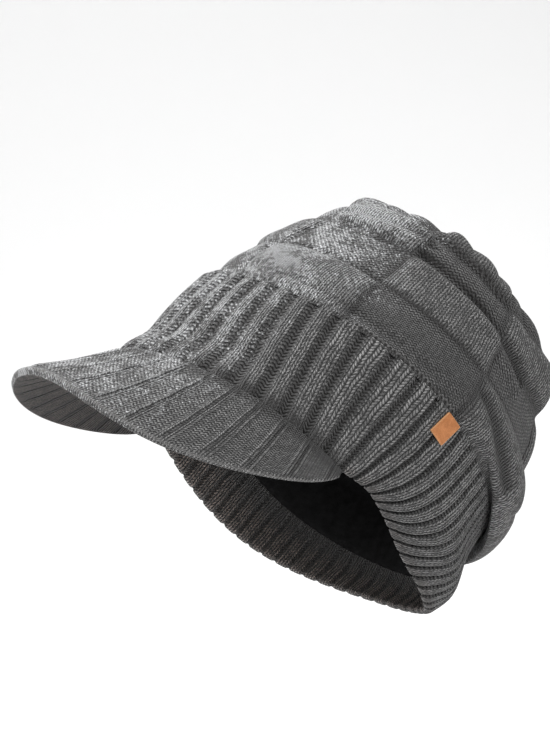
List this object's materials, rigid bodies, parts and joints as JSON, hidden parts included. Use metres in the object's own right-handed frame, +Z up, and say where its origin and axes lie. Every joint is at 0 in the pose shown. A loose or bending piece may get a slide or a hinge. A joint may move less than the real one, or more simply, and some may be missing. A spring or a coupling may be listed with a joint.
{
  "type": "visor beanie",
  "caption": "Knitted beanie with a ribbed band, a short curved peak, a slouched basketweave crown, a dark inner lining and a small leather tag.",
  "frame": {"origin": "head_seat: where the top of the wearer's head meets the inside of the hat, as worn", "axes": "+Z up along the worn head, -Y the way the peak points, +X towards the wearer's left"},
  "size_m": [0.1703, 0.2732, 0.2046],
  "materials": {
    "rib_knit": "melange charcoal rib knit, matte",
    "peak_knit": "melange charcoal rib knit with pale frost flecks, matte",
    "crown_knit": "melange charcoal basketweave knit, matte",
    "fleece": "black brushed fleece",
    "tag_leather": "tan leather, bare"
  },
  "bodies": {
    "root": {"rib_band": "rib_knit", "peak": "peak_knit", "crown": "crown_knit", "lining": "fleece", "leather_tag": "tag_leather"}
  },
  "joints": []
}
